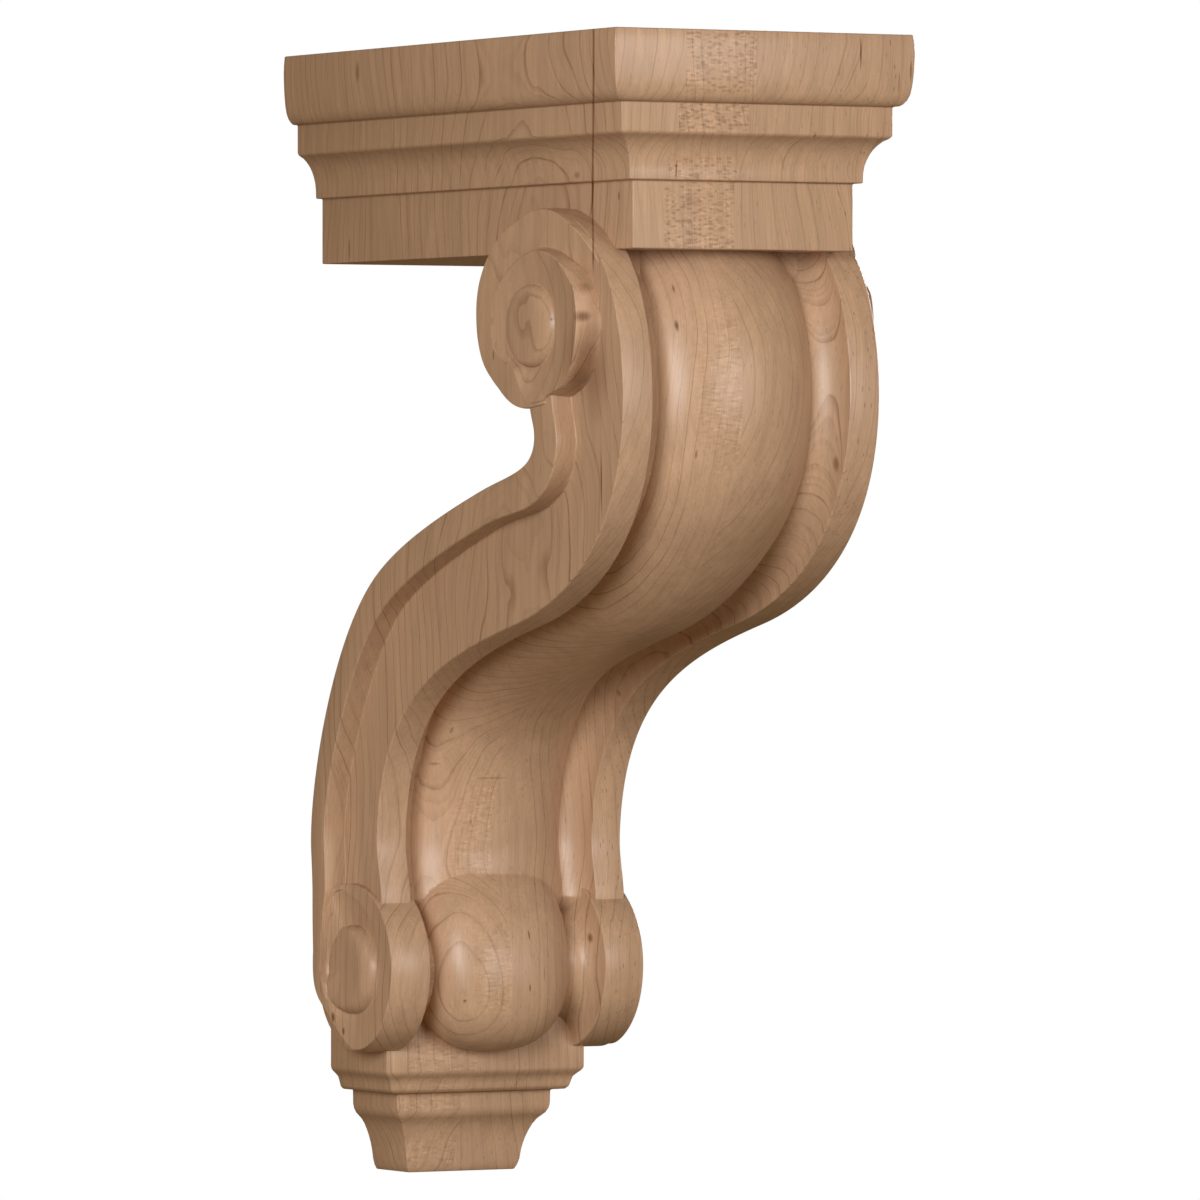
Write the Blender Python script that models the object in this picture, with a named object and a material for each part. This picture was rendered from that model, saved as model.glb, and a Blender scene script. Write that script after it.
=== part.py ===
# Carved maple corbel: moulded cap, S-shaped body with raised side bands and volutes, and a stepped foot.
#
# One solid, cut from one laminated blank. Sizes below are millimetres, and add_solid turns them to metres.
# Frame: X runs across the front, +Y points back into the wall, +Z is up. The wall is the plane Y = 0, and
# the origin is the middle of the cap's back face. Places on the body are (y, z) pairs whose z is measured
# from the top face of the cap, so they are negative.

import math

import bmesh
import bpy
from mathutils import Vector

MM = 0.001

# Cap: a square block with a moulding mitred round its front and its two sides
CAP_BLOCK_HALF = 38.6
CAP_BLOCK_FRONT = -203.3
CAP_BLOCK_BOTTOM = -66.0
ORIGIN_DROP = 33.0
# (how far out of the block, z) from the top face down to the lip over the block
CAP_PROFILE = [
    (13.5, 0.0), (13.9, -5.0), (13.8, -9.5), (13.3, -16.5), (12.3, -20.0), (10.6, -21.7),
    (8.9, -21.9), (8.9, -30.7), (8.0, -31.8),
    (6.9, -32.5), (5.4, -34.1), (4.0, -36.1), (3.0, -38.4), (2.5, -41.2), (2.3, -45.2),
]

# Foot: a block with an inverted moulding below it, mitred the same way
FOOT_HALF = 35.7
FOOT_FRONT = -38.5
FOOT_TOP = -305.0
# (how far inside the block, z) from the block down to the bottom face
FOOT_PROFILE = [
    (0.0, -322.4), (0.8, -323.7), (2.6, -325.5), (3.1, -327.2), (3.6, -329.0), (4.6, -329.7),
    (7.9, -329.9), (8.0, -335.0), (8.7, -336.9), (9.8, -337.9),
    (11.7, -340.2), (13.0, -342.9), (14.1, -345.9), (14.8, -349.2), (15.2, -352.3), (16.5, -355.6),
]

# Body: front edge and back edge of its side view, as knots of a curve.
# A knot is (y, z, direction of travel in degrees from +Y towards +Z, handle before it, handle after it).
FRONT_EDGE = [
    (-158.0, -52.8, 180.0, 0.0, 15.0),
    (-195.6, -69.3, -130.4, 15.0, 14.3),
    (-208.6, -110.1, -89.9, 12.9, 28.9),
    (-137.9, -180.6, -12.5, 55.6, 50.9),
    (-47.6, -247.9, -86.8, 43.8, 7.0),
    (-50.5, -267.2, -95.2, 6.9, 5.0),
    (-44.0, -280.0, -60.0, 5.0, 0.0),
]
BACK_EDGE = [
    (-156.0, -82.0, -100.0, 0.0, 3.0),
    (-158.0, -92.0, -100.0, 3.0, 7.0),
    (-161.8, -113.4, -100.0, 7.0, 4.3),
    (-164.6, -124.1, -80.4, 4.3, 9.4),
    (-130.1, -139.1, -15.6, 18.1, 26.2),
    (-62.6, -164.3, -31.7, 18.8, 36.6),
    (-16.3, -253.2, -95.1, 20.5, 14.7),
    (-17.4, -282.3, -93.0, 17.1, 0.0),
]
# Sections run from the front edge to the back edge: (place on the front, place on the back, steps to here)
SECTION_TIES = [
    (0.0, 0.0, 0), (1.0, 1.0, 4), (2.0, 2.0, 5), (2.25, 3.0, 3), (2.5, 3.25, 3), (2.75, 3.55, 3),
    (3.0, 4.0, 4), (3.5, 5.05, 8), (4.0, 6.0, 7), (5.0, 6.7, 4), (6.0, 7.0, 2),
]
PANEL_HALF_TOP = 45.2
PANEL_HALF_LOW = 43.8
PANEL_Z_TOP = -68.0
PANEL_Z_LOW = -266.0
BAND_RISE = 7.4
BAND_WIDTH_TOP = 13.0
BAND_WIDTH_LOW = 10.3

# Front of the body: a flat fillet along each side, a cove inside it, and a rounded pillow in the middle
FILLET_INSIDE_TOP = 34.7
FILLET_INSIDE_LOW = 33.2
COVE_RADIUS = 8.5
COVE_STEP = 1.2
VALLEY_DEPTH = 9.5
PILLOW_HALF = 27.0
PILLOW_PROUD_BELLY = 5.0
PILLOW_PROUD_LOW = 1.4
PILLOW_STEPS = 7
COVE_STEPS = 6

# Lower rolls, turned about a level axis, and the ball between them
ROLL_AXIS = (-33.4, -289.4)
ROLL_RADIUS = 26.9
ROLL_INSIDE = 31.5
ROLL_VALLEY = 22.0
ROLL_VALLEY_RADIUS = 18.5
BALL_CENTRE = (-36.0, -287.4)
BALL_RADIUS = 29.8
BALL_HALF_WIDTH = 24.8

# Volutes: (angle in degrees from the front, over the top; value). Levels are heights above the side panel.
TOP_VOLUTE = {
    "centre": (-160.0, -88.5),
    "panel": 45.0,
    "rim": [(0, 35.0), (30, 36.0), (45, 38.5), (60, 36.6), (90, 35.6), (130, 35.0), (157, 35.0), (180, 32.0),
            (200, 29.8), (228, 26.2), (255, 25.4), (280, 25.8), (305, 29.0), (330, 33.0)],
    "spiral": [(0, 32.6), (25, 33.0), (45, 30.0), (65, 26.3), (90, 23.0), (120, 20.5), (150, 21.5), (180, 22.3),
               (200, 20.3), (225, 16.5), (245, 25.0), (270, 25.2), (300, 27.6), (330, 30.0)],
    "outer": [(0, -2.5), (32, -1.0), (50, 1.2), (90, 3.8), (135, 5.4), (180, 6.3), (225, 7.0), (255, 7.4),
              (290, 7.4), (312, -2.5), (335, -2.5)],
    "inner": [(0, 7.3), (90, 7.0), (180, 6.5), (215, 6.4), (250, 7.4), (300, 7.4)],
    "boss_foot": 13.4,
    "boss_rim": 10.8,
    "boss_floor": 5.2,
    "boss_level": 7.4,
    "root": 36.0,
}
LOW_VOLUTE = {
    "centre": (-35.0, -289.4),
    "panel": 43.8,
    "rim": [(0, 25.3), (45, 26.2), (90, 27.0), (125, 23.0), (150, 19.2), (180, 18.0), (205, 17.2), (225, 16.9),
            (245, 19.5), (270, 26.9), (315, 26.2)],
    "spiral": [(0, 20.0), (60, 21.0), (90, 23.0), (125, 19.5), (150, 15.8), (180, 14.6), (205, 14.6), (225, 15.0),
               (245, 17.0), (270, 19.0), (315, 19.5)],
    "outer": [(0, 1.6), (45, 1.2), (90, 0.7), (118, 2.4), (145, 7.2), (180, 7.4), (210, 7.2), (240, 5.2),
              (270, 2.8), (300, 1.9), (330, 1.7)],
    "inner": [(0, 1.4), (45, 1.0), (90, 0.6), (125, 1.9), (150, 5.0), (180, 5.6), (210, 6.0), (240, 4.6),
              (270, 2.6), (300, 1.7), (330, 1.5)],
    "boss_foot": 14.4,
    "boss_rim": 12.0,
    "boss_floor": 1.0,
    "boss_level": 5.8,
    "root": 33.0,
}
VOLUTE_SIDES = 48
ROLL_SIDES = 40

# Scroll between the top volutes
SCROLL_AXIS = (-160.0, -84.5)
SCROLL_RADIUS = 28.0
SCROLL_HALF = 40.0

# Pad behind the lower body, which brings its back flush with the wall
PAD_HALF = 33.5
PAD_OUTLINE = [(-30.0, -316.0), (0.0, -316.0), (0.0, -238.0), (-26.0, -212.0), (-40.0, -215.0), (-30.0, -240.0)]

MAPLE_COLOUR = (0.42, 0.25, 0.16, 1.0)
MAPLE_ROUGHNESS = 0.55


def empty_scene():
    """Removes what the scene holds, and returns the object's own collection."""
    for old in list(bpy.data.objects):
        bpy.data.objects.remove(old, do_unlink=True)
    parts = bpy.data.collections.new("wood_corbel")
    bpy.context.scene.collection.children.link(parts)
    return parts


def maple():
    """Bare sanded hard maple."""
    material = bpy.data.materials.new("sanded_hard_maple")
    material.use_nodes = True
    shader = material.node_tree.nodes["Principled BSDF"]
    shader.inputs["Base Color"].default_value = MAPLE_COLOUR
    shader.inputs["Roughness"].default_value = MAPLE_ROUGHNESS
    shader.inputs["Metallic"].default_value = 0.0
    return material


def add_solid(name, points, faces, parts):
    """Makes one closed mesh object from points in millimetres whose z is measured from the cap's top."""
    mesh = bpy.data.meshes.new(name)
    mesh.from_pydata([(x * MM, y * MM, (z + ORIGIN_DROP) * MM) for x, y, z in points], [], faces)
    shape = bmesh.new()
    shape.from_mesh(mesh)
    bmesh.ops.recalc_face_normals(shape, faces=shape.faces)
    shape.to_mesh(mesh)
    shape.free()
    piece = bpy.data.objects.new(name, mesh)
    parts.objects.link(piece)
    return piece


def close_loft(rings):
    """Faces of a loft through rings of equal length, with a flat cap on its first and last ring."""
    count = len(rings[0])
    points = [point for ring in rings for point in ring]
    faces = [tuple(range(count)), tuple(range((len(rings) - 1) * count, len(rings) * count))]
    for row in range(len(rings) - 1):
        for column in range(count):
            after = (column + 1) % count
            first = row * count
            faces.append((first + column, first + after, first + count + after, first + count + column))
    return points, faces


def mitred_ring(half, front, z):
    """One rectangle of a moulding that turns round the front and the sides and ends at the wall."""
    return [(-half, front, z), (half, front, z), (half, 0.0, z), (-half, 0.0, z)]


def make_cap(parts):
    rings = [mitred_ring(CAP_BLOCK_HALF + out, CAP_BLOCK_FRONT - out, z) for out, z in CAP_PROFILE]
    lip_z = CAP_PROFILE[-1][1]
    rings.append(mitred_ring(CAP_BLOCK_HALF, CAP_BLOCK_FRONT, lip_z - 0.05))
    rings.append(mitred_ring(CAP_BLOCK_HALF, CAP_BLOCK_FRONT, CAP_BLOCK_BOTTOM))
    return add_solid("cap", *close_loft(rings), parts)


def make_foot(parts):
    rings = [mitred_ring(FOOT_HALF, FOOT_FRONT, FOOT_TOP)]
    rings += [mitred_ring(FOOT_HALF - inside, FOOT_FRONT + inside, z) for inside, z in FOOT_PROFILE]
    return add_solid("foot", *close_loft(rings), parts)


def on_curve(knots, place):
    """Point of a knotted curve; place counts knots, and its fraction is the way to the next knot."""
    start = min(int(place), len(knots) - 2)
    t = place - start
    y0, z0, angle0, _, handle0 = knots[start]
    y3, z3, angle3, handle3, _ = knots[start + 1]
    y1 = y0 + handle0 * math.cos(math.radians(angle0))
    z1 = z0 + handle0 * math.sin(math.radians(angle0))
    y2 = y3 - handle3 * math.cos(math.radians(angle3))
    z2 = z3 - handle3 * math.sin(math.radians(angle3))
    weights = ((1 - t) ** 3, 3 * t * (1 - t) ** 2, 3 * t * t * (1 - t), t ** 3)
    return (sum(w * y for w, y in zip(weights, (y0, y1, y2, y3))),
            sum(w * z for w, z in zip(weights, (z0, z1, z2, z3))))


def section_places():
    """Pairs of places on the front edge and the back edge, one pair for each section of the body."""
    pairs = [SECTION_TIES[0][:2]]
    for before, tie in zip(SECTION_TIES, SECTION_TIES[1:]):
        for step in range(1, tie[2] + 1):
            part = step / tie[2]
            pairs.append((before[0] + part * (tie[0] - before[0]), before[1] + part * (tie[1] - before[1])))
    return pairs


def smooth_step(value, low, high):
    part = min(1.0, max(0.0, (value - low) / (high - low)))
    return part * part * (3 - 2 * part)


def panel_half(z):
    """Half width of the body at its side panels, which taper slightly towards the foot."""
    part = (z - PANEL_Z_TOP) / (PANEL_Z_LOW - PANEL_Z_TOP)
    return PANEL_HALF_TOP + min(1.0, max(0.0, part)) * (PANEL_HALF_LOW - PANEL_HALF_TOP)


def pillow_proud(place):
    """How far the pillow's crest stands out past the fillets: most under the belly."""
    belly = PILLOW_PROUD_BELLY * smooth_step(place, 2.55, 3.0) * (1 - smooth_step(place, 3.1, 3.75))
    return belly + PILLOW_PROUD_LOW * smooth_step(place, 3.1, 3.6) * (1 - smooth_step(place, 3.9, 4.6))


def front_section(place):
    """Half of the front's section: (x, depth below the fillet) from the middle to the panel edge."""
    front_z = on_curve(FRONT_EDGE, place)[1]
    down = min(1.0, max(0.0, (front_z - PANEL_Z_TOP) / (PANEL_Z_LOW - PANEL_Z_TOP)))
    inside = FILLET_INSIDE_TOP + down * (FILLET_INSIDE_LOW - FILLET_INSIDE_TOP)
    proud = pillow_proud(place)
    cove_middle = inside - COVE_RADIUS
    meet = 0.925 * PILLOW_HALF
    points = []
    for step in range(PILLOW_STEPS):
        x = meet * math.sin(step / (PILLOW_STEPS - 1) * math.radians(78)) / math.sin(math.radians(78))
        fall = 1 - math.sqrt(1 - (x / PILLOW_HALF) ** 2)
        points.append((x, -proud + fall * (VALLEY_DEPTH + proud) * 1.15))
    for step in range(1, COVE_STEPS + 1):
        angle = math.radians(90) * step / COVE_STEPS
        x = cove_middle + COVE_RADIUS * math.sin(angle)
        depth = COVE_STEP + (VALLEY_DEPTH - COVE_STEP) * math.cos(angle)
        points.append((x, depth))
    points.append((inside + 0.15, 0.0))
    points.append((panel_half(front_z), 0.0))
    return points


def make_body(parts):
    """The S, lofted through sections that run from its front edge to its back edge."""
    rings = []
    for front_place, back_place in section_places():
        front = Vector(on_curve(FRONT_EDGE, front_place))
        back = Vector(on_curve(BACK_EDGE, back_place))
        inward = (back - front).normalized()
        share = min(1.0, max(0.0, (back_place - 2.0) / 4.0))
        width = BAND_WIDTH_TOP + share * (BAND_WIDTH_LOW - BAND_WIDTH_TOP)
        band_front = back - inward * width
        half = [(x, *(front + inward * depth)) for x, depth in front_section(front_place)]
        half.append((panel_half(band_front.y), *band_front))
        half.append((panel_half(band_front.y) + BAND_RISE, *band_front))
        half.append((panel_half(back.y) + BAND_RISE, *back))
        ring = half + [(-x, y, z) for x, y, z in reversed(half[1:])]
        rings.append(ring)
    return add_solid("body", *close_loft(rings), parts)


def round_value(table, angle):
    """Value at an angle, eased between the entries of a table that closes on itself."""
    for (low, first), (high, last) in zip(table, table[1:] + [(table[0][0] + 360, table[0][1])]):
        if low <= angle <= high:
            return first + (last - first) * smooth_step(angle, low, high)
    return table[0][1]


def volute_sections(sizes):
    """For each angle round a volute: (angle in radians, [(radius, level)] from the boss out to the rim)."""
    rows = []
    for step in range(VOLUTE_SIDES):
        angle = 360 * step / VOLUTE_SIDES
        rim = round_value(sizes["rim"], angle)
        spiral = min(round_value(sizes["spiral"], angle), rim - 0.5)
        inner = round_value(sizes["inner"], angle)
        outer = round_value(sizes["outer"], angle)
        side = [
            (sizes["boss_rim"], sizes["boss_level"]),
            (sizes["boss_foot"], sizes["boss_floor"]),
            (spiral - 0.2, inner),
            (spiral + 0.2, outer),
            (rim, outer),
        ]
        rows.append((math.radians(angle), side))
    return rows


def make_volute(name, sizes, sign, parts):
    """One volute, on the left (sign -1) or the right (+1), from its root inside the body to its face."""
    centre_y, centre_z = sizes["centre"]
    rows = volute_sections(sizes)
    points = [(sign * (sizes["panel"] + sizes["boss_level"]), centre_y, centre_z)]
    for ring in range(len(rows[0][1])):
        for angle, side in rows:
            radius, level = side[ring]
            points.append((sign * (sizes["panel"] + level),
                           centre_y - radius * math.cos(angle), centre_z + radius * math.sin(angle)))
    points += [(sign * sizes["root"], y, z) for _, y, z in points[-VOLUTE_SIDES:]]
    points.append((sign * sizes["root"], centre_y, centre_z))
    last = len(points) - 1
    ring_count = len(rows[0][1]) + 1
    faces = []
    for column in range(VOLUTE_SIDES):
        after = (column + 1) % VOLUTE_SIDES
        faces.append((0, 1 + column, 1 + after))
        faces.append((last, last - VOLUTE_SIDES + column, last - VOLUTE_SIDES + after))
        for ring in range(ring_count - 1):
            a = 1 + ring * VOLUTE_SIDES
            b = a + VOLUTE_SIDES
            faces.append((a + column, b + column, b + after, a + after))
    return add_solid(name, points, faces, parts)


def make_scroll(parts):
    """The roll behind the top volutes, which shows from the back between them."""
    rings = []
    for x in (-SCROLL_HALF, SCROLL_HALF):
        rings.append([(x, SCROLL_AXIS[0] - SCROLL_RADIUS * math.cos(math.tau * step / ROLL_SIDES),
                       SCROLL_AXIS[1] + SCROLL_RADIUS * math.sin(math.tau * step / ROLL_SIDES))
                      for step in range(ROLL_SIDES)])
    return add_solid("scroll", *close_loft(rings), parts)


def make_rolls(parts):
    """Both rolls and the neck between them, turned about the lower volutes' axis."""
    half = []
    for step in range(COVE_STEPS + 1):
        angle = math.radians(90) * step / COVE_STEPS
        x = ROLL_VALLEY + (ROLL_INSIDE - ROLL_VALLEY) * math.sin(angle)
        radius = ROLL_RADIUS - (ROLL_RADIUS - ROLL_VALLEY_RADIUS) * math.cos(angle)
        half.append((x, radius))
    half.append((LOW_VOLUTE["panel"] + 0.3, ROLL_RADIUS))
    profile = [(-x, radius) for x, radius in reversed(half)] + half
    points = []
    for x, radius in profile:
        for step in range(ROLL_SIDES):
            angle = math.tau * step / ROLL_SIDES
            points.append((x, ROLL_AXIS[0] - radius * math.cos(angle), ROLL_AXIS[1] + radius * math.sin(angle)))
    rings = [points[i:i + ROLL_SIDES] for i in range(0, len(points), ROLL_SIDES)]
    return add_solid("rolls", *close_loft(rings), parts)


def make_ball(parts):
    bpy.ops.mesh.primitive_uv_sphere_add(segments=36, ring_count=18, radius=1.0, location=(0, 0, 0))
    ball = bpy.context.object
    ball.name = "ball"
    for vertex in ball.data.vertices:
        vertex.co.x *= BALL_HALF_WIDTH * MM
        vertex.co.y = (BALL_CENTRE[0] + vertex.co.y * BALL_RADIUS) * MM
        vertex.co.z = (BALL_CENTRE[1] + ORIGIN_DROP + vertex.co.z * BALL_RADIUS) * MM
    for owner in list(ball.users_collection):
        owner.objects.unlink(ball)
    parts.objects.link(ball)
    return ball


def make_pad(parts):
    rings = [[(x, y, z) for y, z in PAD_OUTLINE] for x in (-PAD_HALF, PAD_HALF)]
    return add_solid("pad", *close_loft(rings), parts)


def carve_as_one(pieces, name):
    """Unites the pieces, whose joints show on the real corbel only as creases, and keeps one mesh."""
    whole = pieces[0]
    for other in pieces[1:]:
        union = whole.modifiers.new("union_" + other.name, "BOOLEAN")
        union.operation = "UNION"
        union.solver = "EXACT"
        union.object = other
    bpy.context.view_layer.update()
    depsgraph = bpy.context.evaluated_depsgraph_get()
    mesh = bpy.data.meshes.new_from_object(whole.evaluated_get(depsgraph))
    shape = bmesh.new()
    shape.from_mesh(mesh)
    bmesh.ops.remove_doubles(shape, verts=shape.verts, dist=0.00002)
    bmesh.ops.dissolve_degenerate(shape, edges=shape.edges, dist=0.00002)
    bmesh.ops.triangulate(shape, faces=shape.faces)
    shape.to_mesh(mesh)
    shape.free()
    mesh.name = name
    solid = bpy.data.objects.new(name, mesh)
    for piece in pieces:
        bpy.data.objects.remove(piece, do_unlink=True)
    return solid


collection = empty_scene()
corbel = carve_as_one([
    make_cap(collection),
    make_body(collection),
    make_scroll(collection),
    make_volute("top_volute_left", TOP_VOLUTE, -1, collection),
    make_volute("top_volute_right", TOP_VOLUTE, 1, collection),
    make_rolls(collection),
    make_volute("low_volute_left", LOW_VOLUTE, -1, collection),
    make_volute("low_volute_right", LOW_VOLUTE, 1, collection),
    make_ball(collection),
    make_foot(collection),
    make_pad(collection),
], "corbel")
collection.objects.link(corbel)
corbel.data.materials.clear()
corbel.data.materials.append(maple())
corbel.data.shade_smooth()
corbel.data.set_sharp_from_angle(angle=math.radians(28))
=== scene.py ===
# Looks of the carved maple corbel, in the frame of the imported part.
#
# Metres, +Z up, +Y back into the wall. The carver's sizes below are millimetres, with z measured from the
# cap's top face, as in the part's own source.

import math

import bpy
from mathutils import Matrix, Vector


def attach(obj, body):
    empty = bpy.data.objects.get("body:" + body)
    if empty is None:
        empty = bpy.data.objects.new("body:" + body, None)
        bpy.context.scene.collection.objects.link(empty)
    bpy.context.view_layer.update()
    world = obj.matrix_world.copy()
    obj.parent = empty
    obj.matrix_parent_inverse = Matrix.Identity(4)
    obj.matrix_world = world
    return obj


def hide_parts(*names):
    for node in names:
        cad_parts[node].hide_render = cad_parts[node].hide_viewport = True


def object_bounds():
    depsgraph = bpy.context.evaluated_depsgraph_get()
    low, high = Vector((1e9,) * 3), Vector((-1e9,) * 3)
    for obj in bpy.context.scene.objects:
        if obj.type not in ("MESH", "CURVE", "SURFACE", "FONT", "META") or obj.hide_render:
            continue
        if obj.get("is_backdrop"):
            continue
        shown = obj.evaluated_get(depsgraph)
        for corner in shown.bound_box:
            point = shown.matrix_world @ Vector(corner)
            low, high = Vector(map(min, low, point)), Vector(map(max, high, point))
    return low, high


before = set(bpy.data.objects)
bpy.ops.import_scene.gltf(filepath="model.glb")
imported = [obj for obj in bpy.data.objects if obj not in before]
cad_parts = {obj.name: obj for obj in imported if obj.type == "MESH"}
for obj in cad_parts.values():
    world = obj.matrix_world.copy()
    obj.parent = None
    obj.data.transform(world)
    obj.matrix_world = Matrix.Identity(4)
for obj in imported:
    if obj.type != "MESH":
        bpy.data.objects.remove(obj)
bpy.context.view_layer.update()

# Corbel
# One block of hard maple, glued up from boards and carved in the round: moulded cap, S-shaped body with
# raised side bands and volutes, ball between the lower rolls, stepped foot. Sanded, with softened arrises.

MM = 0.001
# The cap's top face stands this far above the frame's origin
CAP_TOP = 33.0


def place(x, y, z):
    """A carver's point in millimetres, as a point of the frame in metres."""
    return Vector((x * MM, y * MM, (z + CAP_TOP) * MM))


def start_fresh():
    """Object mode with nothing selected."""
    if bpy.context.mode != "OBJECT":
        bpy.ops.object.mode_set(mode="OBJECT")
    bpy.ops.object.select_all(action="DESELECT")


def mitred_moulding(name, rows):
    """A moulding round the front and both sides that stops at the wall, from rows of (half, front, z)."""
    start_fresh()
    half, front, z = rows[0]
    bpy.ops.mesh.primitive_plane_add(size=1, location=(0, 0, 0))
    piece = bpy.context.object
    piece.name = name
    bpy.ops.object.mode_set(mode="EDIT")
    bpy.ops.mesh.select_all(action="SELECT")
    bpy.ops.transform.resize(value=(2 * half * MM, -front * MM, 1), center_override=(0, 0, 0))
    bpy.ops.transform.translate(value=place(0, front / 2, z))
    for next_half, next_front, next_z in rows[1:]:
        bpy.ops.mesh.extrude_region_move(TRANSFORM_OT_translate={"value": (0, 0, (next_z - z) * MM)})
        bpy.ops.transform.resize(value=(next_half / half, next_front / front, 1),
                                 center_override=place(0, 0, next_z))
        half, front, z = next_half, next_front, next_z
    bpy.ops.mesh.select_all(action="SELECT")
    bpy.ops.mesh.normals_make_consistent(inside=False)
    bpy.ops.object.mode_set(mode="OBJECT")
    return piece


SHARP_EDGE = 30
ARRIS_SEGMENTS = 3


def soften(piece, width):
    """Sanded arrises: a narrow rounding along each edge that is sharp enough to catch the hand."""
    rounding = piece.modifiers.new("sanded_arrises", "BEVEL")
    rounding.width = width * MM
    rounding.segments = ARRIS_SEGMENTS
    rounding.limit_method = "ANGLE"
    rounding.angle_limit = math.radians(SHARP_EDGE)
    rounding.use_clamp_overlap = True
    start_fresh()
    piece.select_set(True)
    bpy.context.view_layer.objects.active = piece
    bpy.ops.object.modifier_apply(modifier=rounding.name)


def closed_loft(name, rings, first_pole=None, last_pole=None):
    """A closed shell through rings of equal length; a pole closes an end to a point, otherwise it is flat."""
    count = len(rings[0])
    points = [place(*point) for ring in rings for point in ring]
    faces = []
    for row in range(len(rings) - 1):
        for column in range(count):
            after = (column + 1) % count
            first = row * count
            faces.append((first + column, first + after, first + count + after, first + count + column))
    last = (len(rings) - 1) * count
    if first_pole:
        points.append(place(*first_pole))
        faces += [((column + 1) % count, column, len(points) - 1) for column in range(count)]
    else:
        faces.append(tuple(reversed(range(count))))
    if last_pole:
        points.append(place(*last_pole))
        faces += [(last + column, last + (column + 1) % count, len(points) - 1) for column in range(count)]
    else:
        faces.append(tuple(range(last, last + count)))
    mesh = bpy.data.meshes.new(name)
    mesh.from_pydata(points, [], faces)
    piece = bpy.data.objects.new(name, mesh)
    bpy.context.scene.collection.objects.link(piece)
    start_fresh()
    piece.select_set(True)
    bpy.context.view_layer.objects.active = piece
    bpy.ops.object.mode_set(mode="EDIT")
    bpy.ops.mesh.select_all(action="SELECT")
    bpy.ops.mesh.normals_make_consistent(inside=False)
    bpy.ops.object.mode_set(mode="OBJECT")
    return piece


# Cap: the square block, then the moulding (how far out of the block, z) from the top face down to the lip
BLOCK_HALF = 38.6
BLOCK_FRONT = -203.3
BLOCK_BOTTOM = -66.0
MOULDING_BOTTOM = -45.25
CAP_ARRIS = 0.45
CAP_PROFILE = [
    (13.5, 0.0), (13.8, -3.0), (13.9, -6.0), (13.8, -9.5), (13.6, -13.0), (13.3, -16.0), (12.9, -18.2),
    (12.2, -20.0), (11.3, -21.2), (10.4, -21.8), (8.9, -21.9),
    (8.9, -30.6), (8.6, -31.4), (8.0, -31.8), (6.9, -32.4),
    (5.6, -33.7), (4.6, -35.0), (3.8, -36.5), (3.1, -38.3), (2.6, -40.3), (2.35, -42.5), (2.3, -45.2),
]
cap_rows = [(BLOCK_HALF + out, BLOCK_FRONT - out, z) for out, z in CAP_PROFILE]
cap_rows.append((BLOCK_HALF, BLOCK_FRONT, MOULDING_BOTTOM))
cap_rows.append((BLOCK_HALF, BLOCK_FRONT, BLOCK_BOTTOM))
cap = mitred_moulding("cap", cap_rows)
soften(cap, CAP_ARRIS)

# Foot: a block, then its moulding (how far inside the block, z) down to the small lower face
FOOT_HALF = 35.7
FOOT_FRONT = -38.5
FOOT_TOP = -305.0
FOOT_ARRIS = 0.4
FOOT_PROFILE = [
    (0.0, -322.3), (0.2, -323.0), (0.8, -323.8), (1.7, -324.6), (2.6, -325.6), (3.1, -327.2), (3.5, -328.7),
    (4.4, -329.6), (7.9, -329.9),
    (8.0, -334.4), (8.3, -335.8), (9.0, -337.2), (9.8, -338.0),
    (11.0, -339.2), (12.1, -340.9), (13.0, -342.9), (13.7, -344.8), (14.3, -346.9), (14.8, -349.2),
    (15.2, -352.2), (15.7, -354.0), (16.5, -355.6),
]
foot_rows = [(FOOT_HALF, FOOT_FRONT, FOOT_TOP)]
foot_rows += [(FOOT_HALF - inside, FOOT_FRONT + inside, z) for inside, z in FOOT_PROFILE]
foot = mitred_moulding("foot", foot_rows)
soften(foot, FOOT_ARRIS)

# Body: the S. Its side view runs between a front edge and a back edge, each through knots
# (y, z, direction of travel in degrees from +Y towards +Z, handle before, handle after)
FRONT_EDGE = [
    (-158.0, -52.8, 180.0, 0.0, 15.0),
    (-195.6, -69.3, -130.4, 15.0, 14.3),
    (-208.6, -110.1, -89.9, 12.9, 28.9),
    (-137.9, -180.6, -12.5, 55.6, 50.9),
    (-47.6, -247.9, -86.8, 43.8, 7.0),
    (-50.5, -267.2, -95.2, 6.9, 5.0),
    (-44.0, -280.0, -60.0, 5.0, 0.0),
]
BACK_EDGE = [
    (-156.0, -82.0, -100.0, 0.0, 3.0),
    (-158.0, -92.0, -100.0, 3.0, 7.0),
    (-161.8, -113.4, -100.0, 7.0, 4.3),
    (-164.6, -124.1, -80.4, 4.3, 9.4),
    (-130.1, -139.1, -15.6, 18.1, 26.2),
    (-62.6, -164.3, -31.7, 18.8, 36.6),
    (-16.3, -253.2, -95.1, 20.5, 14.7),
    (-17.4, -284.6, -93.0, 17.1, 0.0),
]
# Sections run from the front edge to the back edge: (place on the front, place on the back, steps to here)
SECTION_TIES = [
    (0.0, 0.0, 0), (1.0, 1.0, 16), (2.0, 2.0, 22), (2.25, 3.0, 12), (2.5, 3.25, 12), (2.75, 3.55, 12),
    (3.0, 4.0, 14), (3.5, 5.05, 32), (4.0, 6.0, 32), (5.0, 6.7, 18), (6.0, 7.0, 8),
]
# Side panels: (half width over them, z) at their top and at their foot
PANEL_TOP = (45.2, -68.0)
PANEL_LOW = (43.8, -266.0)
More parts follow.
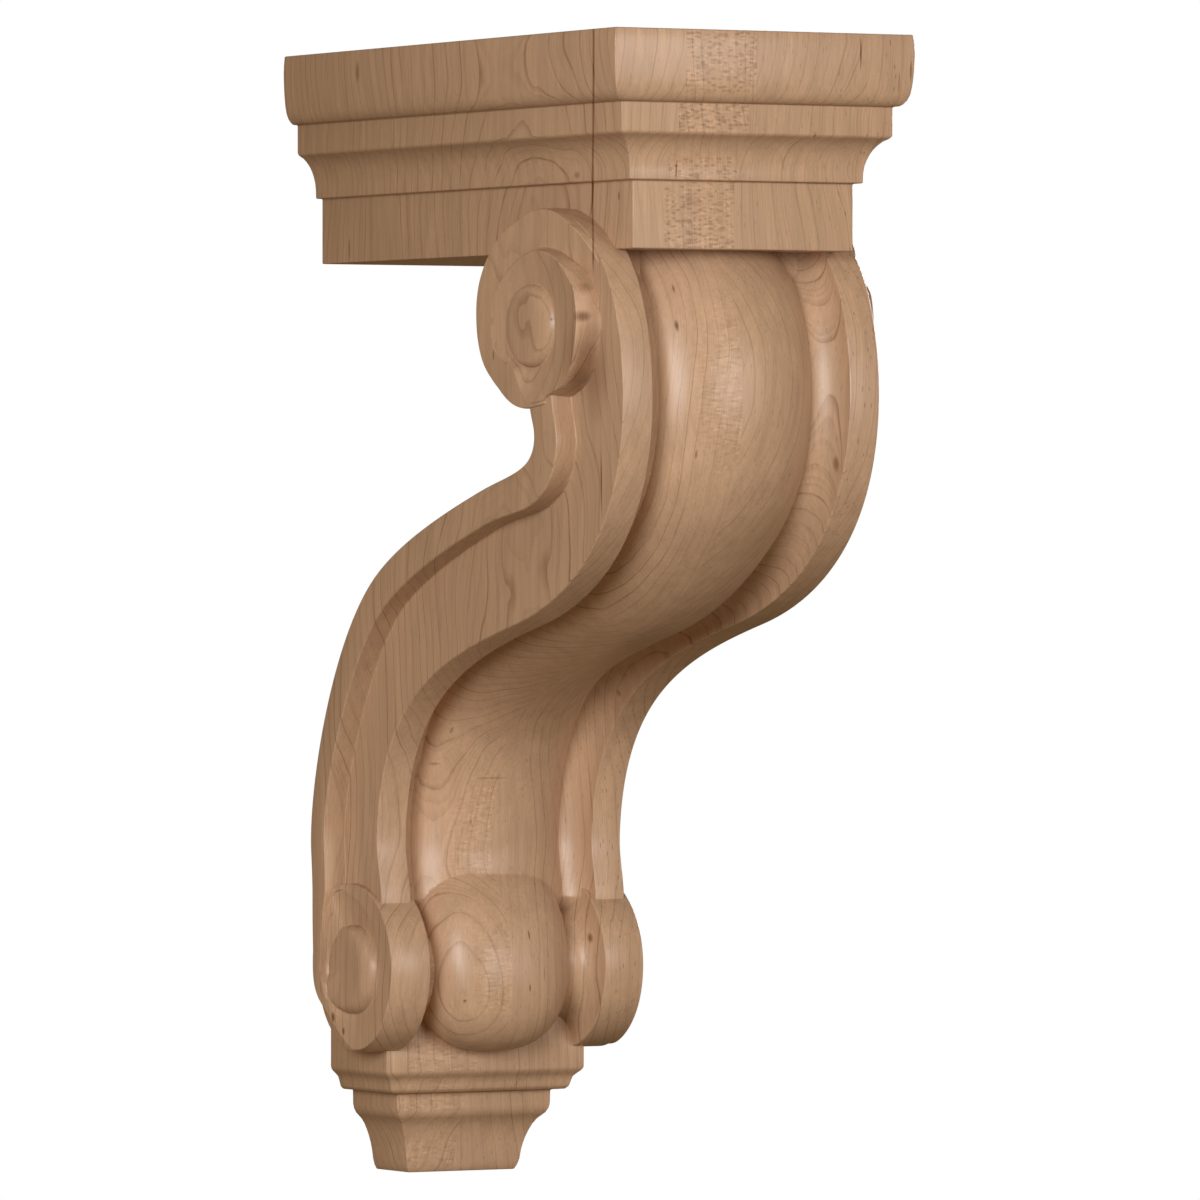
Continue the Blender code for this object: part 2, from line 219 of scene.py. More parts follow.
# Height of the side bands above the panels, up in the body and low down. It changes from the first to the
# second over a stretch of the back edge, and the band fades in below the upper volute
BAND_RISE = (6.9, 7.5)
BAND_RISE_FROM = 2.0
BAND_RISE_OVER = 4.0
BAND_FADE = (1.55, 1.95)
BAND_FADE_RISE = 3.0
# (place on the back edge, width of the band there)
BAND_WIDTHS = [(2.0, 14.7), (3.15, 14.7), (4.0, 11.0), (5.0, 11.6), (6.0, 9.7), (6.45, 9.6),
               (6.75, 7.4), (7.0, 6.2)]
# Front: a flat fillet at each side, a cove inside it, a valley, and the pillow in the middle
FILLET_INSIDE = (34.7, 33.2)
FILLET_STEP = 0.15
COVE_WIDTH = 9.3
COVE_STEP = 1.9
COVE_ROUNDNESS = 1.6
VALLEY_DEPTH = 10.8
VALLEY_BLEND = 5.5
PILLOW_HALF = 26.2
PILLOW_BULGE = 1.15
PILLOW_SIDE_SLOPE = 4
# How far the pillow stands out at the belly and at the neck, and the places on the front edge where each
# swelling starts, is full, begins to fade and ends
PILLOW_PROUD = (5.0, 1.4)
BELLY_SWELLING = (2.55, 3.0, 3.1, 3.75)
NECK_SWELLING = (3.1, 3.6, 3.9, 4.6)
FRONT_STEPS = 40
# Under 1, so that the sections' points lie closer together in the cove than on the pillow
FRONT_SPACING = 0.9


def on_curve(knots, along):
    """Point of a knotted curve; along counts knots, and its fraction is the way to the next knot."""
    start = min(int(along), len(knots) - 2)
    t = along - start
    y0, z0, angle0, _, handle0 = knots[start]
    y3, z3, angle3, handle3, _ = knots[start + 1]
    ends = [
        (y0, z0),
        (y0 + handle0 * math.cos(math.radians(angle0)), z0 + handle0 * math.sin(math.radians(angle0))),
        (y3 - handle3 * math.cos(math.radians(angle3)), z3 - handle3 * math.sin(math.radians(angle3))),
        (y3, z3),
    ]
    weights = ((1 - t) ** 3, 3 * t * (1 - t) ** 2, 3 * t * t * (1 - t), t ** 3)
    y = sum(weight * end[0] for weight, end in zip(weights, ends))
    z = sum(weight * end[1] for weight, end in zip(weights, ends))
    return Vector((y, z))


def smooth_step(value, low, high):
    """From 0 at low to 1 at high, level at both."""
    part = min(1.0, max(0.0, (value - low) / (high - low)))
    return part * part * (3 - 2 * part)


def panel_half(z):
    """Half width over the side panels, which taper slightly towards the foot."""
    part = min(1.0, max(0.0, (z - PANEL_TOP[1]) / (PANEL_LOW[1] - PANEL_TOP[1])))
    return PANEL_TOP[0] + part * (PANEL_LOW[0] - PANEL_TOP[0])


def inward_of_front(along):
    """Unit direction into the wood, square to the front edge."""
    step = 0.01
    last_knot = len(FRONT_EDGE) - 1
    travel = on_curve(FRONT_EDGE, min(last_knot, along + step))
    travel -= on_curve(FRONT_EDGE, max(0.0, along - step))
    return Vector((-travel.y, travel.x)).normalized()


def front_depth(x, inside, proud):
    """Depth of the front below its fillets at x: the pillow meets the cove in a soft valley."""
    share = min(0.9999, x / PILLOW_HALF)
    pillow = -proud + (VALLEY_DEPTH + proud) * PILLOW_BULGE * (1 - math.sqrt(1 - share * share))
    if x > PILLOW_HALF:
        pillow = -proud + (VALLEY_DEPTH + proud) * PILLOW_BULGE + PILLOW_SIDE_SLOPE * (x - PILLOW_HALF)
    reach = max(0.0, x - (inside - COVE_WIDTH)) / COVE_WIDTH
    rounded = max(0.0, 1 - reach ** COVE_ROUNDNESS) ** (1 / COVE_ROUNDNESS)
    cove = COVE_STEP + (VALLEY_DEPTH - COVE_STEP) * rounded
    overlap = max(VALLEY_BLEND - abs(pillow - cove), 0.0) / VALLEY_BLEND
    return min(pillow, cove) - overlap * overlap * VALLEY_BLEND / 4


def pillow_proud(along):
    """How far the pillow's crest stands out past the fillets: most under the belly."""
    start, full, fading, end = BELLY_SWELLING
    belly = PILLOW_PROUD[0] * smooth_step(along, start, full) * (1 - smooth_step(along, fading, end))
    start, full, fading, end = NECK_SWELLING
    return belly + PILLOW_PROUD[1] * smooth_step(along, start, full) * (1 - smooth_step(along, fading, end))


def eased(points, radii):
    """The same line of points with its corners rounded; a radius of None leaves the point as it is."""
    out = []
    for index, (point, radius) in enumerate(zip(points, radii)):
        if radius is None:
            out.append(point)
            continue
        towards = (points[index - 1] - point, points[index + 1] - point)
        start, end = (point + side.normalized() * min(radius, side.length * 0.45) for side in towards)
        for t in (0.0, 0.3, 0.7, 1.0):
            out.append(start * (1 - t) ** 2 + point * 2 * t * (1 - t) + end * t * t)
    return out


section_places = [SECTION_TIES[0][:2]]
for before, tie in zip(SECTION_TIES, SECTION_TIES[1:]):
    for step in range(1, tie[2] + 1):
        part = step / tie[2]
        on_front = before[0] + part * (tie[0] - before[0])
        on_back = before[1] + part * (tie[1] - before[1])
        section_places.append((on_front, on_back))

body_rings = []
for front_along, back_along in section_places:
    front = on_curve(FRONT_EDGE, front_along)
    back = on_curve(BACK_EDGE, back_along)
    inward = inward_of_front(front_along)
    down = min(1.0, max(0.0, (front.y - PANEL_TOP[1]) / (PANEL_LOW[1] - PANEL_TOP[1])))
    inside = FILLET_INSIDE[0] + down * (FILLET_INSIDE[1] - FILLET_INSIDE[0])
    share = min(1.0, max(0.0, (back_along - BAND_RISE_FROM) / BAND_RISE_OVER))
    band_width = BAND_WIDTHS[0][1]
    for (low, first), (high, last) in zip(BAND_WIDTHS, BAND_WIDTHS[1:]):
        if low <= back_along <= high:
            band_width = first + (last - first) * smooth_step(back_along, low, high)
    rise = BAND_RISE[0] + share * (BAND_RISE[1] - BAND_RISE[0])
    rise = BAND_FADE_RISE + (rise - BAND_FADE_RISE) * smooth_step(back_along, *BAND_FADE)
    band_front = back + (front - back).normalized() * band_width
    proud = pillow_proud(front_along)
    half = []
    for step in range(FRONT_STEPS + 1):
        x = inside * math.sin(math.radians(90) * step / FRONT_STEPS) ** FRONT_SPACING
        half.append(Vector((x, *(front + inward * front_depth(x, inside, proud)))))
    radii = [None] * len(half)
    # Corners of the section past the cove, each with the rounding that sanding gave it
    corners = [
        ((inside + FILLET_STEP, *front), 0.5),
        ((panel_half(front.y), *front), 0.7),
        ((panel_half(band_front.y), *band_front), 0.7),
        ((panel_half(band_front.y) + rise, *band_front), 0.8),
        ((panel_half(back.y) + rise, *back), 0.9),
        ((0.0, *back), None),
    ]
    for corner, radius in corners:
        half.append(Vector(corner))
        radii.append(radius)
    half = eased(half, radii)
    body_rings.append([tuple(p) for p in half] + [(-p.x, p.y, p.z) for p in reversed(half[1:-1])])
body = closed_loft("body", body_rings)

# Volutes. Each is a dish with a winding round it and a low button in the middle. Its tables run round it by
# degrees, from the front over the top. Radii: the rim, the winding's edge (spiral), the foot of the dish, the
# button. Heights above the panel: the winding's top (inner) and its outside (outer), the dish (floor), the
# button's edge (level) and its middle (crown). The root is where the volute ends inside the body.
TOP_VOLUTE = {
    "centre": (-161.3, -88.6),
    "panel": 45.1,
    "rim": [(0, 36.0), (28, 37.8), (45, 37.3), (60, 36.1), (75, 36.0), (92, 35.3), (110, 34.1), (133, 35.0),
            (156, 35.6), (182, 33.5), (199, 31.4), (216, 28.1), (228, 26.5), (245, 25.8), (277, 25.5),
            (298, 27.0), (312, 29.5), (335, 34.5)],
    "spiral": [(0, 31.9), (17, 31.9), (29, 29.9), (43, 27.8), (62, 25.1), (85, 22.9), (102, 21.5),
               (123, 21.3), (141, 22.2), (156, 23.5), (175, 23.9), (191, 22.7), (203, 21.1), (215, 18.7),
               (226, 16.4), (240, 15.6), (262, 20.0), (285, 26.0), (308, 28.3), (323, 30.0), (335, 31.3),
               (351, 31.6)],
    "outside": [(0, 2.9), (15, 0.4), (30, 0.12), (180, 0.12), (290, 0.12), (308, 0.8), (323, 1.8), (337, 1.5),
                (351, 2.6)],
    "outer": [(0, -2.0), (14, -2.0), (24, -0.8), (33, 0.8), (42, 2.2), (52, 2.9), (62, 3.2), (75, 3.6),
              (90, 4.0), (135, 5.5), (180, 6.5), (225, 7.1), (250, 7.4), (294, 7.4), (304, -2.5),
              (335, -2.5)],
    "inner": [(0, 7.2), (90, 7.1), (150, 7.0), (180, 6.9), (215, 6.8), (240, 7.2), (270, 7.4), (300, 7.4)],
    "foot": [(0, 12.3), (90, 12.5), (180, 14.0), (270, 12.9)],
    "button": [(0, 6.0), (50, 7.2), (100, 10.9), (180, 13.0), (250, 11.4), (310, 7.4)],
    "floor": [(0, 4.1), (90, 4.6), (180, 5.3), (235, 5.1), (270, 4.4)],
    "level": [(0, 7.1), (100, 7.2), (180, 7.2), (260, 7.15)],
    "crown": 7.4,
    "root": 36.0,
}
LOW_VOLUTE = {
    "centre": (-33.6, -289.4),
    "panel": 43.8,
    "rim": [(0, 26.5), (90, 26.6), (99, 26.6), (104, 26.4), (110, 25.0), (124, 22.3), (139, 19.8),
            (148, 18.4), (156, 17.4), (165, 16.7), (180, 16.3), (207, 16.5), (234, 17.3),
            (250, 19.7), (266, 23.8), (276, 26.2), (290, 26.6)],
    "spiral": [(0, 18.2), (60, 20.0), (88, 23.0), (99, 24.8), (104, 24.8), (107, 24.2), (110, 19.3),
               (116, 17.8), (124, 15.8), (139, 13.0), (160, 10.9), (186, 10.3), (215, 10.9), (232, 13.0),
               (250, 15.8), (270, 16.5), (315, 17.8)],
    "outside": [(0, 0.12), (180, 0.12)],
    "outer": [(0, 1.6), (45, 1.6), (75, 2.2), (88, 3.0), (99, 3.9), (108, 5.0), (114, 5.9), (125, 6.8),
              (150, 7.46), (200, 7.4), (215, 7.1), (230, 6.2), (247, 5.0), (260, 3.8), (273, 2.8), (300, 1.9),
              (330, 1.7)],
    "inner": [(0, 1.5), (45, 1.5), (75, 2.1), (88, 2.8), (99, 3.5), (110, 4.4), (120, 5.1), (130, 5.3),
              (139, 5.4), (160, 5.0), (190, 5.2), (212, 6.4), (230, 6.1), (247, 4.9), (260, 3.7), (273, 2.7),
              (300, 1.8), (330, 1.6)],
    "foot": [(0, 17.2), (27, 16.0), (60, 14.7), (90, 13.4), (105, 12.4), (119, 11.1), (147, 10.2), (172, 9.9),
             (192, 9.9), (207, 10.0), (232, 12.4), (250, 13.8), (275, 14.5), (310, 16.2), (343, 17.2)],
    "button": [(0, 10.6), (22, 11.0), (60, 12.2), (90, 12.6), (105, 11.5), (119, 10.4), (147, 9.6),
               (172, 9.3), (192, 9.3), (207, 9.4), (232, 10.6), (250, 11.4), (285, 11.0), (326, 10.6)],
    "floor": [(0, 1.7), (90, 1.1), (105, 2.0), (119, 3.3), (135, 4.2), (160, 4.5), (192, 4.8), (210, 6.1),
              (232, 5.8), (247, 4.4), (262, 3.0), (290, 2.0)],
    "cut": [(0, 0.0), (110, 0.0), (135, 0.25), (230, 0.25), (260, 0.0)],
    "level": [(0, 5.6), (60, 5.2), (150, 4.9), (190, 5.0), (212, 6.2), (230, 5.9), (250, 5.5), (270, 5.6)],
    "crown": 5.2,
    "root": 33.0,
}
VOLUTE_SIDES = 144
EDGE_ROUND = 0.7
LIP_ROUND = 0.7
# Least widths of the dish, of the winding up to the rim, and of the flat outside it, and the foot's fillet
LEAST_DISH = 0.8
LEAST_WINDING = 1.6
LEAST_FLAT = 1.3
FOOT_FILLET = 0.3
# The carver's stop cut along the outside of the winding, where the volute's own table gives no other depth
CUT_WIDTH = 0.55
CUT_DEPTH = 0.25


def round_value(table, angle):
    """Value at an angle, through the entries of a table that closes on itself, without overshoot."""
    count = len(table)
    angles = [entry[0] for entry in table]
    values = [entry[1] for entry in table]
    at = max((i for i in range(count) if angles[i] <= angle), default=count - 1)
    nodes = []
    for offset in (-1, 0, 1, 2):
        index = at + offset
        nodes.append((angles[index % count] + 360 * (index // count), values[index % count]))
    if angle < angles[0]:
        angle += 360
    (a0, v0), (a1, v1), (a2, v2), (a3, v3) = nodes
    slope = (v2 - v1) / (a2 - a1)
    before = (v1 - v0) / (a1 - a0)
    after = (v3 - v2) / (a3 - a2)
    start = 0.0 if before * slope <= 0 else 2 * before * slope / (before + slope)
    end = 0.0 if after * slope <= 0 else 2 * after * slope / (after + slope)
    width = a2 - a1
    t = (angle - a1) / width
    return ((2 * t ** 3 - 3 * t ** 2 + 1) * v1 + (t ** 3 - 2 * t ** 2 + t) * width * start
            + (3 * t ** 2 - 2 * t ** 3) * v2 + (t ** 3 - t ** 2) * width * end)


def volute_side(sizes, angle):
    """(radius, level) from the button's middle out to the rim, at one angle."""
    value = {key: round_value(table, angle) for key, table in sizes.items() if isinstance(table, list)}
    rim = value["rim"]
    foot = value["foot"]
    button = value["button"]
    inner = value["inner"]
    outer = value["outer"]
    floor = value["floor"]
    level = value["level"]
    crown = sizes["crown"]
    cut = value.get("cut", CUT_DEPTH)
    spiral = max(foot + LEAST_DISH, min(value["spiral"], rim - LEAST_WINDING))
    # The button, slightly domed, and its rounded side down to the dish
    drop = level - floor
    slope = foot - button
    side = [
        (button * 0.3, crown + (level - crown) * 0.1),
        (button * 0.7, crown + (level - crown) * 0.6),
        (button, level),
        (button + 0.35 * slope, level - 0.08 * drop),
        (button + 0.7 * slope, level - 0.33 * drop),
        (button + 0.92 * slope, level - 0.68 * drop),
        (foot, floor + 0.04 * drop),
        (foot + FOOT_FILLET, floor),
    ]
    # The dish, rising to the winding's lip
    wall = inner - outer
    lip = min(LIP_ROUND, max(0.05, abs(wall) * 0.35), (spiral - foot) * 0.25)
    for part in (0.25, 0.5, 0.75):
        reach = foot + FOOT_FILLET + part * (spiral - lip - foot - FOOT_FILLET)
        side.append((reach, floor + (inner - floor) * part))
    # The winding's edge, the stop cut at its outside, and the flat out to the rounded rim
    out = min(value["outside"], rim - spiral - LEAST_FLAT)
    cut_end = spiral + out + CUT_WIDTH
    side += [
        (spiral - lip, inner),
        (spiral - 0.3 * lip, inner - 0.1 * wall),
        (spiral, inner - 0.35 * wall),
        (spiral + out, outer + 0.06 * wall),
        (spiral + out + CUT_WIDTH * 0.3, outer - cut),
        (cut_end, outer),
        ((cut_end + rim) / 2, outer),
        (rim - EDGE_ROUND * 0.5, outer),
        (rim - 0.15 * EDGE_ROUND, outer - 0.3 * EDGE_ROUND),
        (rim, outer - EDGE_ROUND),
    ]
    return side


def volute(name, sizes, sign):
    """One volute, on the left (sign -1) or the right (+1), from its root in the body to its face."""
    centre_y, centre_z = sizes["centre"]
    angles = [360 * step / VOLUTE_SIDES for step in range(VOLUTE_SIDES)]
    sides = [volute_side(sizes, angle) for angle in angles]
    rings = []
    for ring in range(len(sides[0])):
        row = []
        for angle, side in zip(angles, sides):
            radius, level = side[ring]
            turn = math.radians(angle)
            row.append((sign * (sizes["panel"] + level),
                        centre_y - radius * math.cos(turn),
                        centre_z + radius * math.sin(turn)))
        rings.append(row)
    rings.append([(sign * sizes["root"], y, z) for _, y, z in rings[-1]])
    crown = (sign * (sizes["panel"] + sizes["crown"]), centre_y, centre_z)
    return closed_loft(name, rings, first_pole=crown, last_pole=(sign * sizes["root"], centre_y, centre_z))


volutes = [
    volute("top_volute_left", TOP_VOLUTE, -1),
    volute("top_volute_right", TOP_VOLUTE, 1),
    volute("low_volute_left", LOW_VOLUTE, -1),
    volute("low_volute_right", LOW_VOLUTE, 1),
]

# Scroll between the top volutes, seen from the back
SCROLL_AXIS = (-160.0, -84.5)
SCROLL_RADIUS = 28.0
SCROLL_LENGTH = 80.0
start_fresh()
bpy.ops.mesh.primitive_cylinder_add(vertices=96, radius=SCROLL_RADIUS * MM, depth=SCROLL_LENGTH * MM,
                                    location=place(0, *SCROLL_AXIS), rotation=(0, math.radians(90), 0))
scroll = bpy.context.object
scroll.name = "scroll"
bpy.ops.object.transform_apply(location=True, rotation=True, scale=True)

# Lower rolls and the neck between them, turned about the lower volutes' axis
ROLL_AXIS = (-33.4, -289.4)
ROLL_RADIUS = 26.9
ROLL_INSIDE = 31.5
NECK_HALF = 24.5
NECK_RADIUS = 17.3
ROLL_END = 44.2
# The neck's cove stops this far below the roll, which leaves a small step
ROLL_STEP = 0.4
NECK_STEPS = 12
TURNED_SIDES = 128
roll_profile = []
for step in range(NECK_STEPS + 1):
    turn = math.radians(90) * step / NECK_STEPS
    roll_profile.append((NECK_HALF + (ROLL_INSIDE - NECK_HALF) * math.sin(turn),
                         ROLL_RADIUS - ROLL_STEP - (ROLL_RADIUS - ROLL_STEP - NECK_RADIUS) * math.cos(turn)))
# The roll itself, rounded a little at both ends
roll_profile += [
    (ROLL_INSIDE + 0.25, ROLL_RADIUS - 0.12),
    (ROLL_INSIDE + 0.8, ROLL_RADIUS),
    (ROLL_END - 1.0, ROLL_RADIUS),
    (ROLL_END - 0.3, ROLL_RADIUS - 0.3),
    (ROLL_END, ROLL_RADIUS - 1.0),
]
profile = [(-x, radius) for x, radius in reversed(roll_profile)] + roll_profile
roll_rings = []
for x, radius in profile:
    ring = []
    for step in range(TURNED_SIDES):
        turn = math.tau * step / TURNED_SIDES
        ring.append((x, ROLL_AXIS[0] - radius * math.cos(turn), ROLL_AXIS[1] + radius * math.sin(turn)))
    roll_rings.append(ring)
rolls = closed_loft("rolls", roll_rings)

# Ball between the rolls: an egg in side view, leaning forward at its lower end, and rather full across
BALL_MIDDLE = (-1.0, -37.1, -283.3)
BALL_HALF = 26.2
BALL_LONG = 34.4
BALL_DEEP = 23.0
BALL_LEAN = 67.5
BALL_FULLNESS = 2.7
BALL_STEPS = 72
lean = math.radians(BALL_LEAN)
ball_rings = []
for step in range(1, BALL_STEPS):
    across = -math.cos(math.pi * step / BALL_STEPS)
    share = (1 - abs(across) ** BALL_FULLNESS) ** (1 / BALL_FULLNESS)
    ring = []
    for side in range(TURNED_SIDES):
        turn = math.tau * side / TURNED_SIDES
        along = share * BALL_LONG * math.cos(turn)
        out = share * BALL_DEEP * math.sin(turn)
        ring.append((BALL_MIDDLE[0] + across * BALL_HALF,
                     BALL_MIDDLE[1] - along * math.cos(lean) - out * math.sin(lean),
                     BALL_MIDDLE[2] - along * math.sin(lean) + out * math.cos(lean)))
    ball_rings.append(ring)
ball = closed_loft("ball", ball_rings,
                   first_pole=(BALL_MIDDLE[0] - BALL_HALF, *BALL_MIDDLE[1:]),
                   last_pole=(BALL_MIDDLE[0] + BALL_HALF, *BALL_MIDDLE[1:]))

# Pad behind the lower body, flush with the wall
PAD_HALF = 33.5
PAD_OUTLINE = [
    (-30.0, -316.0), (0.0, -316.0), (0.0, -238.0), (-26.0, -212.0), (-40.0, -215.0), (-30.0, -240.0),
]
pad = closed_loft("pad", [[(x, y, z) for y, z in PAD_OUTLINE] for x in (-PAD_HALF, PAD_HALF)])

# All is one piece of wood, so the forms are united and only their creases show
MERGE_DISTANCE = 0.02
CREASE_ANGLE = 32
corbel = body
corbel.name = "carved_corbel"
for form in [cap, *volutes, scroll, rolls, ball, foot, pad]:
    union = corbel.modifiers.new("one_wood", "BOOLEAN")
    union.operation = "UNION"
    union.solver = "MANIFOLD"
    union.object = form
    start_fresh()
    corbel.select_set(True)
    bpy.context.view_layer.objects.active = corbel
    bpy.ops.object.modifier_apply(modifier=union.name)
    bpy.data.objects.remove(form, do_unlink=True)
bpy.ops.object.mode_set(mode="EDIT")
bpy.ops.mesh.select_all(action="SELECT")
bpy.ops.mesh.remove_doubles(threshold=MERGE_DISTANCE * MM)
bpy.ops.mesh.normals_make_consistent(inside=False)
bpy.ops.object.mode_set(mode="OBJECT")
bpy.ops.object.shade_smooth_by_angle(angle=math.radians(CREASE_ANGLE))


def linear(hex_colour):
    """An sRGB hex colour as linear red, green, blue and alpha."""
    channels = [int(hex_colour[i:i + 2], 16) / 255 for i in (1, 3, 5)]
    return [c / 12.92 if c <= 0.04045 else ((c + 0.055) / 1.055) ** 2.4 for c in channels] + [1.0]


def add_node(tree, kind, inputs=None, **settings):
    """Adds a node with its settings; inputs gives a value or another node's output for each input."""
    made = tree.nodes.new(kind)
    for key, value in settings.items():
        setattr(made, key, value)
    for key, value in (inputs or {}).items():
        if isinstance(value, bpy.types.NodeSocket):
            tree.links.new(value, made.inputs[key])
        else:
            made.inputs[key].default_value = value
    return made


# Hard maple, planed, carved and sanded to a fine grit, with no finish: a matt pink-tan wood with thin brown
# growth lines, fine fibre, small dark flecks, and one quarter-sawn board whose rays show as ripples in front
maple = bpy.data.materials.new("sanded_hard_maple")
maple.use_nodes = True
tree = maple.node_tree
shader = tree.nodes["Principled BSDF"]
where = add_node(tree, "ShaderNodeTexCoord").outputs["Object"]
to_mm = add_node(tree, "ShaderNodeVectorMath", {0: where, 1: (1 / MM, 1 / MM, 1 / MM)}, operation="MULTIPLY")
mm = to_mm.outputs[0]
axes = add_node(tree, "ShaderNodeSeparateXYZ", {0: mm}).outputs
shape = add_node(tree, "ShaderNodeNewGeometry").outputs["Normal"]
facing = add_node(tree, "ShaderNodeSeparateXYZ", {0: shape}).outputs

# Boards, parted by glue lines at these x: (heart x, heart y, shade, how many ray ends show on its faces).
# A stepped ramp across the corbel carries them as colours: red and green the heart, as 0..1 over twice
# its reach, blue the shade, and alpha the ray ends
GLUE_LINES = (-28.0, -3.6, 35.5)
QUARTERED_SHADE = 0.62
BOARDS = [
    (38.0, -150.0, 0.50, 0.25),
    (-140.0, -190.0, QUARTERED_SHADE, 0.3),
    (130.0, -90.0, 0.46, 0.5),
    (190.0, -150.0, 0.54, 1.0),
]
RAMP_HALF = 60.0
HEART_REACH = 200.0
board_place = add_node(tree, "ShaderNodeMapRange", {0: axes["X"], 1: -RAMP_HALF, 2: RAMP_HALF}).outputs[0]
boards = add_node(tree, "ShaderNodeValToRGB", {0: board_place})
boards.color_ramp.interpolation = "CONSTANT"
ramp = boards.color_ramp.elements
ramp[0].position = 0.0
for line in GLUE_LINES[:-1]:
    ramp.new((line + RAMP_HALF) / (2 * RAMP_HALF))
ramp[-1].position = (GLUE_LINES[-1] + RAMP_HALF) / (2 * RAMP_HALF)
for stop, (heart_x, heart_y, shade, ends) in zip(ramp, BOARDS):
    red = (heart_x + HEART_REACH) / (2 * HEART_REACH)
    green = (heart_y + HEART_REACH) / (2 * HEART_REACH)
    stop.color = (red, green, shade, ends)
board = add_node(tree, "ShaderNodeSeparateColor", {0: boards.outputs[0]}).outputs
ray_ends = boards.outputs["Alpha"]


def noise(vector, scale, detail=2.0, roughness=0.5, output=0):
    """Noise in millimetre space, scaled by cycles per millimetre along x, y and z."""
    moved = add_node(tree, "ShaderNodeMapping", {0: vector, 3: scale}).outputs[0]
    made = add_node(tree, "ShaderNodeTexNoise",
                    {"Vector": moved, "Scale": 1.0, "Detail": detail, "Roughness": roughness})
    return made.outputs[output]


def between(value, low, high, first=0.0, last=1.0):
    """The value's way from low to high, as a number from first to last."""
    return add_node(tree, "ShaderNodeMapRange", {0: value, 1: low, 2: high, 3: first, 4: last}).outputs[0]


def maths(operation, first, second=0.0, third=0.0, clamp=False):
    inputs = {0: first, 1: second, 2: third}
    return add_node(tree, "ShaderNodeMath", inputs, operation=operation, use_clamp=clamp).outputs[0]


def vector_maths(operation, first, second=(0, 0, 0), output=0):
    return add_node(tree, "ShaderNodeVectorMath", {0: first, 1: second}, operation=operation).outputs[output]


# Growth rings: distance from the board's heart. The rings wander slowly, waver, and are rough close to:
# (cycles per millimetre, reach in millimetres)
WANDER = [
    ((0.010, 0.010, 0.012), 22.0),
    ((0.07, 0.07, 0.035), 2.6),
    ((0.6, 0.6, 0.2), 0.22),
]
placed = mm
for scale, reach in WANDER:
    push = vector_maths("SUBTRACT", noise(mm, scale, detail=1.0, output="Color"), (0.5, 0.5, 0.5))
    placed = vector_maths("ADD", placed, vector_maths("MULTIPLY", push, (reach, reach, 0.0)))
ring_axes = add_node(tree, "ShaderNodeSeparateXYZ", {0: placed}).outputs
from_x = maths("SUBTRACT", ring_axes["X"], between(board[0], 0.0, 1.0, -HEART_REACH, HEART_REACH))
from_y = maths("SUBTRACT", ring_axes["Y"], between(board[1], 0.0, 1.0, -HEART_REACH, HEART_REACH))
flat = add_node(tree, "ShaderNodeCombineXYZ", {0: from_x, 1: from_y}).outputs[0]
# The trunk tapers, so the rings lean a little with height
TAPER = 0.03
radius = maths("MULTIPLY_ADD", axes["Z"], TAPER, vector_maths("LENGTH", flat, output="Value"))
# A ring is 3.2 mm wide, and its dark late wood is the last seventh of it
RING_WIDTH = 3.2
LATE_START = 0.86
LATE_PEAK = 0.985
ring = maths("MULTIPLY", radius, 1 / RING_WIDTH)
ring_noise = add_node(tree, "ShaderNodeTexWhiteNoise", {"W": maths("FLOOR", ring)}, noise_dimensions="1D")
ring_tone = ring_noise.outputs["Value"]
within = maths("FRACT", ring)
line = maths("MULTIPLY", between(within, LATE_START, LATE_PEAK), between(within, 1.0, LATE_PEAK))
late = maths("MULTIPLY", line, between(ring_tone, 0.0, 1.0, 0.3, 1.0))
late = maths("MULTIPLY", late, between(noise(mm, (0.12, 0.12, 0.03)), 0.35, 0.6, 0.45, 1.0))

# Finer lines inside a year's growth, a few of them darker than the rest
LINES_A_RING = 4.3
small_ring = maths("MULTIPLY", radius, LINES_A_RING / RING_WIDTH)
small_number = maths("FLOOR", small_ring)
small_noise = add_node(tree, "ShaderNodeTexWhiteNoise", {"W": small_number}, noise_dimensions="1D")
small_tone = maths("POWER", small_noise.outputs["Value"], 2.0)
small_line = maths("MULTIPLY", between(maths("FRACT", small_ring), 0.35, 0.95), small_tone)

# Fibre: streaks under a millimetre across and 25 mm long, broader ones, slow clouds, and sanding grit. Real
# grit is finer than the picture shows, so it is drawn at half a millimetre
fine = noise(mm, (1.5, 1.5, 0.04), detail=3.0, roughness=0.6)
broad = noise(placed, (0.25, 0.25, 0.008), detail=3.0, roughness=0.6)
cloud = noise(mm, (0.02, 0.02, 0.012))
grit = noise(mm, (1.9, 1.9, 1.3), detail=2.0, roughness=0.7)


def marks(scale, reach, share):
    """Lens marks: cells per millimetre, size of the mark in its cell, share of cells that carry a mark."""
    moved = add_node(tree, "ShaderNodeMapping", {0: placed, 3: scale}).outputs[0]
    cells = add_node(tree, "ShaderNodeTexVoronoi", {"Vector": moved, "Scale": 1.0, "Randomness": 1.0})
    pick = add_node(tree, "ShaderNodeSeparateColor", {0: cells.outputs["Color"]}).outputs[0]
    near = between(cells.outputs["Distance"], reach, reach * 0.55)
    return maths("MULTIPLY", near, maths("LESS_THAN", pick, share))


# Ray ends: dark dashes about 0.6 mm wide and 2 mm long, most of them on the right board
dash = maths("MULTIPLY", marks((0.8, 0.8, 0.2), 0.24, 0.55), ray_ends)
# Pith flecks: a few brown marks about 1.4 mm wide and 4 mm long
fleck = marks((0.09, 0.09, 0.03), 0.065, 0.34)

